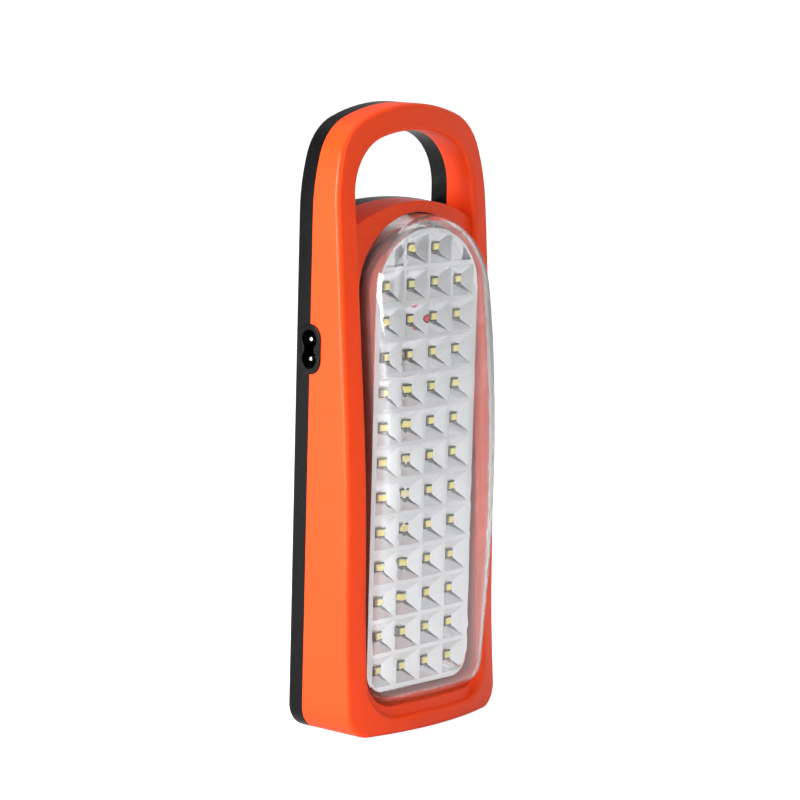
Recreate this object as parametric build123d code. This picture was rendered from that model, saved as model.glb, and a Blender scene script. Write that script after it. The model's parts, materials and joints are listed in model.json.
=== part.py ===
from build123d import *
import os
from math import cos, radians, sin, sqrt, tan

# Rechargeable LED emergency lantern, millimetres.
# +X is to the right seen from the front, -Y is the front, +Z is up.
# The origin is on the base, in the middle, on the plane where the two housing shells meet.

# ---- housing ----
half_width = 50.2
height = 271.2
round_start = 226.0            # height where the straight sides begin to round over
side_round = 80.0              # radius of the first, gentle arc of the rounded top
side_turn = 18.0               # degrees turned by that arc
crown_turn = 19.5              # degrees turned by each half of the arc over the top
foot_corner = 11.0
rear_depth = 8.9               # rear shell, behind the parting plane
wall = 2.0
soft_edge = 2.4
# Height, depth at the sides, and how far the middle of the front face stands in front of its sides.
face_stations = ((0.0, 27.2, 8.3), (30.0, 25.2, 8.0), (75.0, 23.7, 7.4), (120.0, 22.2, 6.8), (165.0, 18.9, 6.0),
                 (210.0, 15.5, 5.0), (240.0, 12.9, 4.2), (271.2, 8.4, 3.2))
far_forward = -60.0            # in front of every piece
tongue_thick = 0.9
tongue_length = 1.5
shell_gap = 0.1                # clearance of the tongue in its rebate

# ---- handle opening ----
opening_half_width = 39.2
opening_top = 259.7
opening_round_start = 231.7
opening_side_round = 28.5
opening_side_turn = 17.0
opening_crown_turn = 13.6
inner_edge = 2.0               # rounding of the front face round the opening and the recess
shoulder_crest = 229.3
shoulder_front_radius = 74.0
shoulder_rear_radius = 242.0
shoulder_front_at = 20.0       # distance of the two shoulder arcs from the parting plane
shoulder_rear_at = 12.0

# ---- lens ----
lens_half_width = 37.2
lens_bottom = 11.8
lens_corner = 13.0
lens_top = 224.3
lens_round_start = 190.0
lens_wall = 1.8
lens_draft = 3.0               # degrees
lens_shoulder = 9.0            # rounding between the lens walls and its front
# Height, depth at the sides, and crown of the lens front.
lens_stations = ((0.0, 30.6, 5.0), (35.0, 33.0, 5.0), (75.0, 35.7, 5.0), (115.0, 36.5, 5.0), (155.0, 34.7, 5.0),
                 (187.0, 31.2, 5.0), (205.0, 28.0, 5.0), (231.0, 22.4, 5.0))
lens_gap = 0.3
flange_width = 2.2
flange_thick = 1.5
seal_thick = 0.6
sleeve_end = 11.5              # rear edge of the sleeve round the window, in front of the parting plane
sleeve_wall = 1.6
recess_depth = 3.4
recess_round = 0.9             # rounding between the border's floor and its walls
recess_half_width = 39.2
recess_bottom = 7.0
recess_corner = 17.0
lens_screw_heights = (30.0, 76.0, 145.0, 184.0)
lens_screw_x = 43.0
ear_radius = 3.2

# ---- LED unit ----
led_pitch_x = 15.7
led_pitch_z = 15.3
led_rows = 13
led_columns = 4
led_centre_height = 117.5
led_face = 20.0                # front of the LED packages, in front of the parting plane
led_size = (3.5, 2.8)
led_thick = 0.8
phosphor_margin = 0.15
phosphor_depth = 0.3
board_thick = 1.6
reflector_height = 3.6
reflector_half_width = 33.4
reflector_bottom = 16.6
reflector_corner = 10.0
reflector_top = 218.2
reflector_skirt = 1.2
reflector_flange = 1.2
cup_hole = (5.2, 4.2)
rib = 1.9
blank_depth = 2.6
board_gap = 0.15
indicator_height = 178.7
indicator_radius = 1.5
indicator_stand = 2.7          # height of its straight body above the board
led_screw_rows = (1, 6, 11)    # rows of LEDs above which the board screws stand, counted from one

# ---- screws ----
screw_gap = 0.05
housing_screw_x = 44.0
housing_screw_heights = (14.0, 114.0, 209.0)
housing_screw = (1.3, 14.0, 2.4, 1.6)     # shank radius, length, head radius, head height
lens_screw = (1.1, 6.3, 2.0, 1.3)
small_screw = (0.9, 3.4, 1.7, 1.0)
post_screw = (1.1, 3.0, 2.0, 1.2)
boss_radius = 3.0
head_seat = 5.0                # height of the housing screws' head seats behind the parting plane

# ---- battery ----
battery_width = 60.0
battery_thick = 19.5
battery_height = 52.0
battery_bottom = 22.0
battery_lid_height = 5.0
battery_pad_thick = 0.5
clamp_thick = 1.0
clamp_height = 14.0
clamp_gap = 0.1
clamp_foot = 8.0
terminal_x = 20.0

# ---- control board ----
control_width = 52.0
control_height = 46.0
control_bottom = 141.0
control_back = 3.4             # rear face of the board, behind the parting plane
post_radius = 2.6

# ---- mains inlet (two-pin figure-eight pattern) ----
inlet_height = 167.3
inlet_length = 21.8
inlet_width = 12.4
inlet_proud = 0.8
inlet_lip = 1.3
inlet_body_depth = 14.0
inlet_recess_depth = 9.8
inlet_lobe_radius = 4.1
inlet_waist = 5.4
pin_pitch = 8.6
pin_radius = 1.2
pin_root_radius = 1.4          # where the pin is moulded into the body
pin_sink = 1.0
tab_length = 5.0
inlet_gap = 0.15

# ---- slide switch ----
switch_height = 167.3
switch_travel = 6.0
knob_width = 5.2
knob_length = 6.0
knob_proud = 1.8
knob_gap = 0.4
bezel_length = 21.0
bezel_width = 10.0
bezel_proud = 0.7
switch_can_depth = 7.0
switch_can_wall = 0.6
lead_radius = 0.85


# ---------------------------------------------------------------- helpers

def between(profile, y_rear, y_front):
    """Extrude a profile drawn in X-Z from one Y plane forward to another."""
    return extrude(Plane.XZ.offset(-y_rear) * profile, amount=y_rear - y_front)


def round_bar(radius, x, z, y_rear, y_front):
    """A cylinder along Y."""
    return between(Pos(x, z) * Circle(radius), y_rear, y_front)


def side_bar(radius, y, z, x_low, x_high):
    """A cylinder along X."""
    return extrude(Plane.YZ.offset(x_low) * Pos(y, z) * Circle(radius), amount=x_high - x_low)


def side_slab(profile, x_low, x_high):
    """Extrude a profile drawn in Y-Z along X."""
    return extrude(Plane.YZ.offset(x_low) * profile, amount=x_high - x_low)


def block(x_low, x_high, y_low, y_high, z_low, z_high):
    """A box given by its limits."""
    size = (x_high - x_low, y_high - y_low, z_high - z_low)
    middle = ((x_low + x_high) / 2, (y_low + y_high) / 2, (z_low + z_high) / 2)
    return Pos(*middle) * Box(*size)


def group(solids):
    """Several separate solids in one node."""
    return Compound(children=[solid.solid() for solid in solids])


def both_sides(x, heights):
    """Places mirrored left and right, at each height."""
    return [(side * x, z) for z in heights for side in (-1, 1)]


def screw(size, x, z, seat, forward=True):
    """A pan-head screw along Y with its head's underside at y = seat."""
    shank_radius, length, head_radius, head_height = size
    shank = round_bar(shank_radius, x, z, seat, seat - length)
    head = round_bar(head_radius, x, z, seat + head_height, seat)
    slot_width = head_radius * 0.35
    slot_depth = head_height * 0.5
    bar = Rectangle(head_radius * 1.3, slot_width) + Rectangle(slot_width, head_radius * 1.3)
    slot = between(Pos(x, z) * bar, seat + head_height, seat + head_height - slot_depth)
    return shank + head - slot


def lead(points):
    """An insulated wire: straight runs joined by arcs as large as the runs allow."""
    corners = [Vector(*point) for point in points]
    radii = []
    for before, corner, after in zip(corners, corners[1:], corners[2:]):
        run_in = corner - before
        run_out = after - corner
        turn = radians(run_in.get_angle(run_out))
        shorter = min(run_in.length, run_out.length)
        radii.append(0.45 * shorter / tan(turn / 2))
    path = FilletPolyline(*points, radius=radii)
    section = Plane(path @ 0, z_dir=path % 0) * Circle(lead_radius)
    return sweep(section, path=path)


# ---------------------------------------------------------------- outlines (X-Z)

def dome_arcs(reach, rise, side_radius, first_turn, last_turn):
    """Five arcs over a domed top that meet smoothly, as radius and turn, from right to left."""
    corner_angle = radians(first_turn)
    top_angle = radians(90 - last_turn)
    across = cos(top_angle) - cos(corner_angle)
    upward = sin(top_angle) - sin(corner_angle)
    need_across = side_radius * (1 - cos(corner_angle)) - reach
    need_up = rise - side_radius * sin(corner_angle)
    scale = across * (1 - sin(top_angle)) + upward * cos(top_angle)
    corner = (need_across * (1 - sin(top_angle)) + need_up * cos(top_angle)) / scale
    top = (need_up * across - need_across * upward) / scale
    middle_turn = 90 - first_turn - last_turn
    return ((side_radius, first_turn), (corner, middle_turn), (top, 2 * last_turn),
            (corner, middle_turn), (side_radius, first_turn))


def dome_edges(arcs, reach, start, grow):
    """The arcs drawn from the right-hand side over the top, moved outwards by grow."""
    edges = []
    place, heading = Vector(reach + grow, start), Vector(0, 1)
    for radius, turn in arcs:
        arc = JernArc(place, heading, radius + grow, turn)
        edges.append(arc)
        place, heading = arc @ 1, arc % 1
    return edges


def body_outline(inset):
    """The lantern seen from the front: straight sides, rounded foot corners, domed top."""
    reach = half_width - inset
    foot = foot_corner - inset
    arcs = dome_arcs(half_width, height - round_start, side_round, side_turn, crown_turn)
    edges = dome_edges(arcs, half_width, round_start, -inset)
    edges.append(Line(edges[-1] @ 1, (-reach, foot + inset)))
    edges.append(JernArc((-reach, foot + inset), (0, -1), foot, 90))
    edges.append(Line((-reach + foot, inset), (reach - foot, inset)))
    edges.append(JernArc((reach - foot, inset), (1, 0), foot, 90))
    edges.append(Line((reach, inset + foot), (reach, round_start)))
    return make_face(edges)


def arched_outline(reach, bottom, corner, start, top):
    """A tall window: rounded lower corners and a half-ellipse at the top."""
    arch = EllipticalCenterArc((0, start), reach, top - start, start_angle=0, arc_size=180)
    left = Line((-reach, start), (-reach, bottom + corner))
    left_corner = JernArc((-reach, bottom + corner), (0, -1), corner, 90)
    base = Line((-reach + corner, bottom), (reach - corner, bottom))
    right_corner = JernArc((reach - corner, bottom), (1, 0), corner, 90)
    right = Line((reach, bottom + corner), (reach, start))
    return make_face([arch, left, left_corner, base, right_corner, right])


def lens_outline(grow):
    """The lens seen from the front, made larger or smaller all round."""
    return arched_outline(lens_half_width + grow, lens_bottom - grow, lens_corner + grow,
                          lens_round_start, lens_top + grow)


def recess_outline(grow):
    """The dished border round the lens, open at the top where it meets the handle opening."""
    reach = recess_half_width + grow
    low = recess_bottom - grow
    tall = opening_round_start - low
    sheet = Pos(0, low + tall / 2) * Rectangle(2 * reach, tall)
    corners = sheet.vertices().sort_by(Axis.Y)[:2]
    return fillet(corners, recess_corner + grow)


def reflector_outline(inset):
    """The reflector seen from the front."""
    return arched_outline(reflector_half_width - inset, reflector_bottom + inset, reflector_corner - inset,
                          lens_round_start, reflector_top - inset)


def opening_outline(grow, radius):
    """The handle opening: domed above, straight sides, an arched shoulder below."""
    reach = opening_half_width + grow
    crest = shoulder_crest - grow
    side = crest - radius + sqrt(radius ** 2 - reach ** 2)
    rise = opening_top - opening_round_start
    arcs = dome_arcs(opening_half_width, rise, opening_side_round, opening_side_turn, opening_crown_turn)
    edges = dome_edges(arcs, opening_half_width, opening_round_start, grow)
    edges.append(Line(edges[-1] @ 1, (-reach, side)))
    edges.append(ThreePointArc((-reach, side), (0, crest), (reach, side)))
    edges.append(Line((reach, side), (reach, opening_round_start)))
    return make_face(edges)


def opening(grow):
    """The space of the handle opening, through both shells."""
    front = Plane.XZ.offset(shoulder_front_at) * opening_outline(grow, shoulder_front_radius)
    rear = Plane.XZ.offset(-shoulder_rear_at) * opening_outline(grow, shoulder_rear_radius)
    return loft([rear, front], ruled=True)


def crowned_block(stations, span, inset):
    """Everything behind a front surface that follows the stations and is crowned across X."""
    margin = 3.0
    behind = 30.0
    reach = span + margin
    first, last = stations[0], stations[-1]
    levels = ((first[0] - margin,) + first[1:],) + stations[1:-1] + ((last[0] + margin,) + last[1:],)
    sections = []
    for level, depth, crown in levels:
        radius = (span ** 2 + crown ** 2) / (2 * crown)
        crest = depth + crown - inset
        edge = crest - radius + sqrt(radius ** 2 - reach ** 2)
        face = ThreePointArc((-reach, -edge), (0, -crest), (reach, -edge))
        back = Polyline((reach, -edge), (reach, behind), (-reach, behind), (-reach, -edge))
        sections.append(Plane.XY.offset(level) * make_face([face, back]))
    return loft(sections)


def face_block(inset):
    """Everything behind the front face of the housing, moved inwards by the inset."""
    return crowned_block(face_stations, half_width, inset)


# ---------------------------------------------------------------- shared cut-outs

def side_oval(length, width):
    """A long oval in Y-Z, centred on the parting plane."""
    return SlotOverall(length, width, rotation=90)


def inlet_hole():
    """The hole in the left side wall that the inlet plugs into."""
    profile = Pos(0, inlet_height) * side_oval(inlet_length - 2 * inlet_lip + 2 * inlet_gap,
                                               inlet_width - 2 * inlet_lip + 2 * inlet_gap)
    return side_slab(profile, -half_width - 1, -half_width + inlet_body_depth)


def switch_hole():
    """The hole in the right side wall for the switch bezel."""
    profile = Pos(0, switch_height) * side_oval(bezel_length - 2 * inlet_lip + 2 * inlet_gap,
                                                bezel_width - 2 * inlet_lip + 2 * inlet_gap)
    return side_slab(profile, half_width - 2 * wall, half_width + 1)


def housing_screw_places():
    """Where the screws join the two shells: along both sides, and one in the middle of the handle."""
    handle_middle = (opening_top + height) / 2
    return both_sides(housing_screw_x, housing_screw_heights) + [(0, handle_middle)]


def tongue_bands(y_rear, y_front, grow):
    """The two straight stretches of the sides along which the tongue runs."""
    low = foot_corner - grow
    high = round_start - 4 * wall + grow
    bands = []
    for side in (-1, 1):
        band = Pos(side * half_width, (low + high) / 2) * Rectangle(4 * wall, high - low)
        bands.append(between(band, y_rear, y_front))
    return bands[0] + bands[1]


# ---------------------------------------------------------------- housing

def front_envelope():
    """The front shell's outer form: crowned face, soft edges, handle opening and lens recess."""
    form = face_block(0) & between(body_outline(0), 0, far_forward)
    rim = form.faces().sort_by(Axis.Y)[0].outer_wire().edges()
    form = fillet(rim, soft_edge) - opening(0) - recess_space()
    pierced = [face for face in form.faces() if face.inner_wires()]
    front = min(pierced, key=lambda face: face.center().Y)
    return fillet(front.inner_wires()[0].edges(), inner_edge)


def recess_space():
    """What is cut away in front of the dished border round the lens."""
    space = between(recess_outline(0), 0, far_forward) - face_block(recess_depth)
    floor = [face for face in space.faces() if abs(face.normal_at(face.center()).Y) > 0.8]
    rearmost = max(floor, key=lambda face: face.center().Y)
    return fillet(rearmost.edges(), recess_round)


def front_housing():
    """Deep front shell with the lens recess, the window sleeve and the screw bosses."""
    far = far_forward
    envelope = front_envelope()
    floor = face_block(recess_depth)
    inner_floor = face_block(recess_depth + wall)
    cavity = face_block(wall) & between(body_outline(wall), wall, far)
    cavity -= opening(wall)
    cavity -= between(recess_outline(wall), 0, far) - inner_floor
    shell = envelope - cavity
    sleeve = between(lens_outline(lens_gap + sleeve_wall), -sleeve_end, far) & floor
    shell += sleeve
    for x, z in housing_screw_places():
        shell += round_bar(boss_radius, x, z, 0, far) & envelope
    for x, z in both_sides(lens_screw_x, lens_screw_heights):
        shell += round_bar(boss_radius, x, z, -sleeve_end + seal_thick, far) & envelope
    shell -= between(lens_outline(lens_gap), 0, far)
    hole_end = head_seat - housing_screw[1] - 0.5
    for x, z in housing_screw_places():
        shell -= round_bar(housing_screw[0] + screw_gap, x, z, 0, hole_end)
    lens_hole_end = lens_screw_seat() - lens_screw[1] - 0.3
    for x, z in both_sides(lens_screw_x, lens_screw_heights):
        shell -= round_bar(lens_screw[0] + screw_gap, x, z, 0, lens_hole_end)
    rebate_depth = tongue_length + shell_gap
    rebate = between(body_outline(wall - tongue_thick - 2 * shell_gap), 0, -rebate_depth)
    rebate -= between(body_outline(wall + shell_gap), 0, -rebate_depth)
    shell -= rebate & tongue_bands(0, -rebate_depth, shell_gap)
    shell -= inlet_hole()
    shell -= switch_hole()
    return shell


def lens_screw_seat():
    """Y of the face that the lens screws' heads rest on."""
    return -sleeve_end + seal_thick + flange_thick + reflector_flange


def rear_housing():
    """Shallow rear shell with the tongue, screw bosses and the posts for what it carries."""
    envelope = between(body_outline(0), rear_depth, 0)
    rim = envelope.faces().sort_by(Axis.Y)[-1].outer_wire().edges()
    envelope = fillet(rim, soft_edge)
    envelope -= opening(0)
    floor = rear_depth - wall
    cavity = between(body_outline(wall), floor, 0) - opening(wall)
    shell = envelope - cavity
    tongue = between(body_outline(wall - tongue_thick - shell_gap), 0, -tongue_length)
    tongue -= between(body_outline(wall), 0, -tongue_length)
    shell += tongue & tongue_bands(0, -tongue_length, 0)
    for x, z in housing_screw_places():
        shell += round_bar(boss_radius + 0.6, x, z, floor, 0) & envelope
    for x, z in clamp_screw_places():
        shell += round_bar(post_radius, x, z, floor, clamp_foot_rear())
    for x, z in control_screw_places():
        shell += round_bar(post_radius, x, z, floor, control_back)
    for x, z in housing_screw_places():
        shell -= round_bar(housing_screw[0] + 2 * screw_gap, x, z, rear_depth, -1)
        shell -= round_bar(housing_screw[2] + 4 * screw_gap, x, z, rear_depth, head_seat)
    for x, z in clamp_screw_places():
        shell -= round_bar(post_screw[0] + screw_gap, x, z, floor + wall / 2, 0)
    for x, z in control_screw_places():
        shell -= round_bar(post_screw[0] + screw_gap, x, z, floor + wall / 2, 0)
    shell -= inlet_hole()
    shell -= switch_hole()
    return shell


def housing_screws():
    """Screws that join the shells, heads sunk in the rear."""
    return group([screw(housing_screw, x, z, head_seat) for x, z in housing_screw_places()])


# ---------------------------------------------------------------- lens

def lens_form(inset):
    """The domed outer form of the lens, or the hollow inside it."""
    rear = sleeve_end - seal_thick - flange_thick
    reach = 34.0
    prism = extrude(Plane.XZ.offset(rear) * lens_outline(-inset), amount=reach, taper=lens_draft)
    form = prism & crowned_block(lens_stations, lens_half_width, inset)
    rim = form.faces().sort_by(Axis.Y)[0].outer_wire().edges()
    return fillet(rim, lens_shoulder - inset)


def flange_ring(y_rear, y_front, hole):
    """A flat ring behind the window sleeve with an ear for each lens screw."""
    ring = between(lens_outline(flange_width), y_rear, y_front)
    for x, z in both_sides(lens_screw_x, lens_screw_heights):
        ring += round_bar(ear_radius, x, z, y_rear, y_front)
        half_ear = (lens_screw_x - lens_half_width) / 2
        bridge = Pos(x - half_ear * (1 if x > 0 else -1), z) * Rectangle(2 * half_ear, 2 * ear_radius)
        ring += between(bridge, y_rear, y_front)
    for x, z in both_sides(lens_screw_x, lens_screw_heights):
        ring -= round_bar(lens_screw[0] + 2 * screw_gap, x, z, y_rear, y_front)
    return ring - hole


def lens_cover():
    """Clear domed cover with a flange trapped behind the front shell."""
    front = -sleeve_end + seal_thick
    rear = front + flange_thick
    hollow = lens_form(lens_wall)
    return lens_form(0) + flange_ring(rear, front, hollow) - hollow


def lens_seal():
    """Flat gasket between the window sleeve and the lens flange."""
    front = -sleeve_end
    rear = front + seal_thick
    return between(lens_outline(lens_gap + sleeve_wall), rear, front) - between(lens_outline(lens_gap), rear, front)


def lens_screws():
    """Screws that clamp the reflector and lens flanges to the front shell."""
    places = both_sides(lens_screw_x, lens_screw_heights)
    return group([screw(lens_screw, x, z, lens_screw_seat()) for x, z in places])


# ---------------------------------------------------------------- LED unit

def board_front():
    """Y of the front face of the LED board."""
    return -led_face + led_thick


def led_places():
    """Centres of the LEDs: full rows of four, and only the middle two in the top row."""
    places = []
    for row in range(led_rows):
        z = led_centre_height + (row - (led_rows - 1) / 2) * led_pitch_z
        for column in range(led_columns):
            x = (column - (led_columns - 1) / 2) * led_pitch_x
            if row < led_rows - 1 or abs(x) < led_pitch_x:
                places.append((x, z))
    return places


def blank_places():
    """Centres of the two top corner cells that hold no LED."""
    x = (led_columns - 1) / 2 * led_pitch_x
    z = led_centre_height + (led_rows - 1) / 2 * led_pitch_z
    return [(-x, z), (x, z)]


def led_screw_places():
    """Screws of the LED board, where the ribs between four cups cross."""
    low = led_centre_height - led_rows / 2 * led_pitch_z
    return both_sides(led_pitch_x, [low + row * led_pitch_z for row in led_screw_rows])


def reflector():
    """Mirror-finished egg-crate of shallow pyramid cups, with a skirt and a rear flange."""
    back = board_front()
    rim = back - reflector_height
    flange_rear = lens_screw_seat()
    flange_front = flange_rear - reflector_flange
    plate = between(reflector_outline(0), back, rim)
    limit = between(reflector_outline(rib * 0.7), back, rim)
    wide, tall = led_pitch_x - rib, led_pitch_z - rib
    cups = []
    for x, z in led_places():
        small = Plane.XZ.offset(-back) * Pos(x, z) * Rectangle(*cup_hole)
        large = Plane.XZ.offset(-rim) * Pos(x, z) * Rectangle(wide, tall)
        cups.append(loft([small, large], ruled=True) & limit)
    for x, z in blank_places():
        cell = Pos(x, z) * Rectangle(wide, tall)
        cups.append(between(cell, rim + blank_depth, rim) & limit)
    plate -= cups
    skirt = between(reflector_outline(0), flange_rear, back)
    skirt -= between(reflector_outline(reflector_skirt), flange_rear, back)
    inside = between(reflector_outline(reflector_skirt), flange_rear, flange_front)
    form = plate + skirt + flange_ring(flange_rear, flange_front, inside)
    form -= round_bar(indicator_radius + 0.5, 0, indicator_height, back, rim)
    for x, z in led_screw_places():
        form -= round_bar(small_screw[0] + screw_gap, x, z, back, back - small_screw[1] + board_thick - 0.2)
    return form


def led_board():
    """Circuit board behind the reflector."""
    front = board_front()
    rear = front + board_thick
    plate = between(reflector_outline(reflector_skirt + board_gap), rear, front)
    for x, z in led_screw_places():
        plate -= round_bar(small_screw[0] + screw_gap, x, z, rear, front)
    return plate


def led_packages():
    """White LED packages with a shallow window in front."""
    window = (led_size[0] - 2 * phosphor_margin, led_size[1] - 2 * phosphor_margin)
    packages = []
    for x, z in led_places():
        body = between(Pos(x, z) * Rectangle(*led_size), board_front(), -led_face)
        body -= between(Pos(x, z) * Rectangle(*window), -led_face + phosphor_depth, -led_face)
        packages.append(body)
    return group(packages)


def led_phosphors():
    """The yellow fill in each LED window."""
    window = (led_size[0] - 2 * phosphor_margin, led_size[1] - 2 * phosphor_margin)
    rear, front = -led_face + phosphor_depth, -led_face
    return group([between(Pos(x, z) * Rectangle(*window), rear, front) for x, z in led_places()])


def led_board_screws():
    """Small screws through the LED board into the reflector."""
    seat = board_front() + board_thick
    return group([screw(small_screw, x, z, seat) for x, z in led_screw_places()])


def indicator_led():
    """Round red charging indicator standing between two cups."""
    base = board_front()
    collar = round_bar(indicator_radius + 0.3, 0, indicator_height, base, base - 1.0)
    body_end = base - indicator_stand
    body = round_bar(indicator_radius, 0, indicator_height, base - 1.0, body_end)
    dome = Pos(0, body_end, indicator_height) * Sphere(indicator_radius)
    return collar + body + dome


# ---------------------------------------------------------------- battery

def battery_rear():
    """Y of the rear face of the battery."""
    return rear_depth - wall - battery_pad_thick


def battery_case():
    """Moulded battery box."""
    rear = battery_rear()
    top = battery_bottom + battery_height - battery_lid_height
    box = block(-battery_width / 2, battery_width / 2, rear - battery_thick, rear, battery_bottom, top)
    return fillet(box.edges().filter_by(Axis.Z), 1.0)


def battery_lid():
    """Lid of the battery with two shallow ribs."""
    rear = battery_rear()
    top = battery_bottom + battery_height
    lid = block(-battery_width / 2, battery_width / 2, rear - battery_thick, rear, top - battery_lid_height, top)
    lid = fillet(lid.edges().filter_by(Axis.Z), 1.0)
    middle = rear - battery_thick / 2
    groove = block(-battery_width / 2 + 8, battery_width / 2 - 8, middle - 0.6, middle + 0.6, top - 0.8, top)
    return lid - Pos(0, 4, 0) * groove - Pos(0, -4, 0) * groove


def battery_terminals():
    """Two blade terminals on the lid."""
    top = battery_bottom + battery_height
    middle = battery_rear() - battery_thick / 2
    blade = block(-2.4, 2.4, middle - 0.4, middle + 0.4, top, top + 6.3)
    blade -= Pos(0, middle, top + 4.2) * Rot(90, 0, 0) * Cylinder(0.7, 2)
    return group([Pos(side * terminal_x, 0, 0) * blade for side in (-1, 1)])


def battery_pad():
    """Foam pad between the battery and the rear shell."""
    rear = rear_depth - wall
    low = battery_bottom + 4
    high = battery_bottom + battery_height - 8
    return block(-battery_width / 2 + 4, battery_width / 2 - 4, battery_rear(), rear, low, high)


def clamp_foot_rear():
    """Y of the rear face of the clamp's feet."""
    return battery_rear() - 1.5


def clamp_screw_places():
    """Screws of the battery clamp."""
    x = battery_width / 2 + clamp_gap + clamp_thick + clamp_foot / 2
    return [(-x, battery_bottom + battery_height / 2), (x, battery_bottom + battery_height / 2)]


def battery_clamp():
    """Folded steel strap over the battery."""
    rear = clamp_foot_rear()
    front = battery_rear() - battery_thick - clamp_gap
    reach = battery_width / 2 + clamp_gap
    middle = battery_bottom + battery_height / 2
    low, high = middle - clamp_height / 2, middle + clamp_height / 2
    strap = block(-reach - clamp_thick, reach + clamp_thick, front - clamp_thick, front, low, high)
    for side in (-1, 1):
        x_in, x_out = side * reach, side * (reach + clamp_thick)
        strap += block(min(x_in, x_out), max(x_in, x_out), front, rear, low, high)
        x_end = side * (reach + clamp_thick + clamp_foot)
        strap += block(min(x_out, x_end), max(x_out, x_end), rear - clamp_thick, rear, low, high)
    for x, z in clamp_screw_places():
        strap -= round_bar(post_screw[0] + 2 * screw_gap, x, z, rear, rear - clamp_thick)
    return strap


def turned_screw(size, x, z, seat):
    """A screw driven from the front towards the rear."""
    return Pos(x, seat, z) * Rot(0, 0, 180) * Pos(-x, -seat, -z) * screw(size, x, z, seat)


def battery_clamp_screws():
    """Screws that hold the strap."""
    seat = clamp_foot_rear() - clamp_thick
    return group([turned_screw(post_screw, x, z, seat) for x, z in clamp_screw_places()])


# ---------------------------------------------------------------- control board

def control_screw_places():
    """Screws of the control board, in two opposite corners each side."""
    x = control_width / 2 - 4
    low = control_bottom + 4
    high = control_bottom + control_height - 4
    return both_sides(x, (low, high))


def control_front():
    """Y of the component side of the control board."""
    return control_back - board_thick


def control_board():
    """Charging and driver board."""
    plate = block(-control_width / 2, control_width / 2, control_front(), control_back,
                  control_bottom, control_bottom + control_height)
    for x, z in control_screw_places():
        plate -= round_bar(post_screw[0] + 2 * screw_gap, x, z, control_back, control_front())
    return plate


def control_board_screws():
    """Screws that hold the control board to the rear shell."""
    return group([turned_screw(post_screw, x, z, control_front()) for x, z in control_screw_places()])


def film_capacitor():
    """Mains dropper capacitor."""
    front = control_front()
    box = block(-18, -5, front - 11, front, control_bottom + 20, control_bottom + 38)
    return fillet(box.edges(), 0.6)


def electrolytic_capacitor():
    """Round smoothing capacitor standing on the board."""
    front = control_front()
    can = round_bar(4.0, 8, control_bottom + 30, front, front - 11.5)
    return fillet(can.edges().sort_by(Axis.Y)[0], 0.6)


def rectifier_diodes():
    """Four axial diodes in a row."""
    diodes = []
    for step in range(4):
        x = -14 + 5 * step
        axis_y = control_front() - 1.4
        body = Pos(x, axis_y, control_bottom + 12) * Cylinder(1.35, 5.0)
        wire = Pos(x, axis_y, control_bottom + 12) * Cylinder(0.35, 9.0)
        diodes.append(body + wire)
    return group(diodes)


def resistors():
    """Three axial resistors."""
    parts = []
    for step in range(3):
        x = 9 + 4.5 * step
        axis_y = control_front() - 1.3
        body = Pos(x, axis_y, control_bottom + 14) * Cylinder(1.2, 6.4)
        wire = Pos(x, axis_y, control_bottom + 14) * Cylinder(0.3, 10.0)
        parts.append(body + wire)
    return group(parts)


def transistor():
    """Small driver transistor with a flat front."""
    front = control_front()
    profile = Circle(2.4) - Pos(0, -3.2) * Rectangle(6, 4)
    return between(Pos(19, control_bottom + 32) * profile, front, front - 5.0)


# ---------------------------------------------------------------- inlet

def inlet_floor():
    """X of the floor of the inlet's hollow."""
    return -half_width - inlet_proud + inlet_recess_depth


def inlet_recess():
    """Figure-eight hollow of the inlet, open to the left."""
    profile = Pos(0, inlet_height) * Rectangle(inlet_waist, pin_pitch)
    for side in (-1, 1):
        profile += Pos(0, inlet_height + side * pin_pitch / 2) * Circle(inlet_lobe_radius)
    return side_slab(profile, -half_width - inlet_proud, inlet_floor())


def inlet_body():
    """Moulded inlet: proud oval bezel and a body reaching into the housing."""
    start = -half_width - inlet_proud
    bezel = side_slab(Pos(0, inlet_height) * side_oval(inlet_length, inlet_width), start, -half_width)
    bezel = fillet(bezel.edges().group_by(Axis.X)[0], inlet_proud * 0.7)
    inner = Pos(0, inlet_height) * side_oval(inlet_length - 2 * inlet_lip, inlet_width - 2 * inlet_lip)
    body = bezel + side_slab(inner, -half_width, -half_width + inlet_body_depth)
    body -= inlet_recess()
    for side in (-1, 1):
        z = inlet_height + side * pin_pitch / 2
        body -= side_bar(pin_root_radius, 0, z, inlet_floor(), -half_width + inlet_body_depth)
    return body


def inlet_pins():
    """Two round contact pins with rounded tips and thicker roots."""
    tip = -half_width - inlet_proud + pin_sink
    pins = []
    for side in (-1, 1):
        z = inlet_height + side * pin_pitch / 2
        pin = side_bar(pin_radius, 0, z, tip, inlet_floor())
        pin = fillet(pin.edges().sort_by(Axis.X)[0], pin_radius * 0.7)
        root = side_bar(pin_root_radius, 0, z, inlet_floor(), -half_width + inlet_body_depth)
        pins.append(pin + root)
    return group(pins)


def inlet_terminals():
    """Solder tabs on the back of the pins."""
    start = -half_width + inlet_body_depth
    tabs = []
    for side in (-1, 1):
        z = inlet_height + side * pin_pitch / 2
        tab = block(start, start + tab_length, -0.4, 0.4, z - 1.2, z + 1.2)
        tabs.append(tab)
    return group(tabs)


# ---------------------------------------------------------------- switch

def knob_low():
    """Bottom of the knob in its lowest, off, position."""
    return switch_height - (knob_length + switch_travel) / 2


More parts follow.
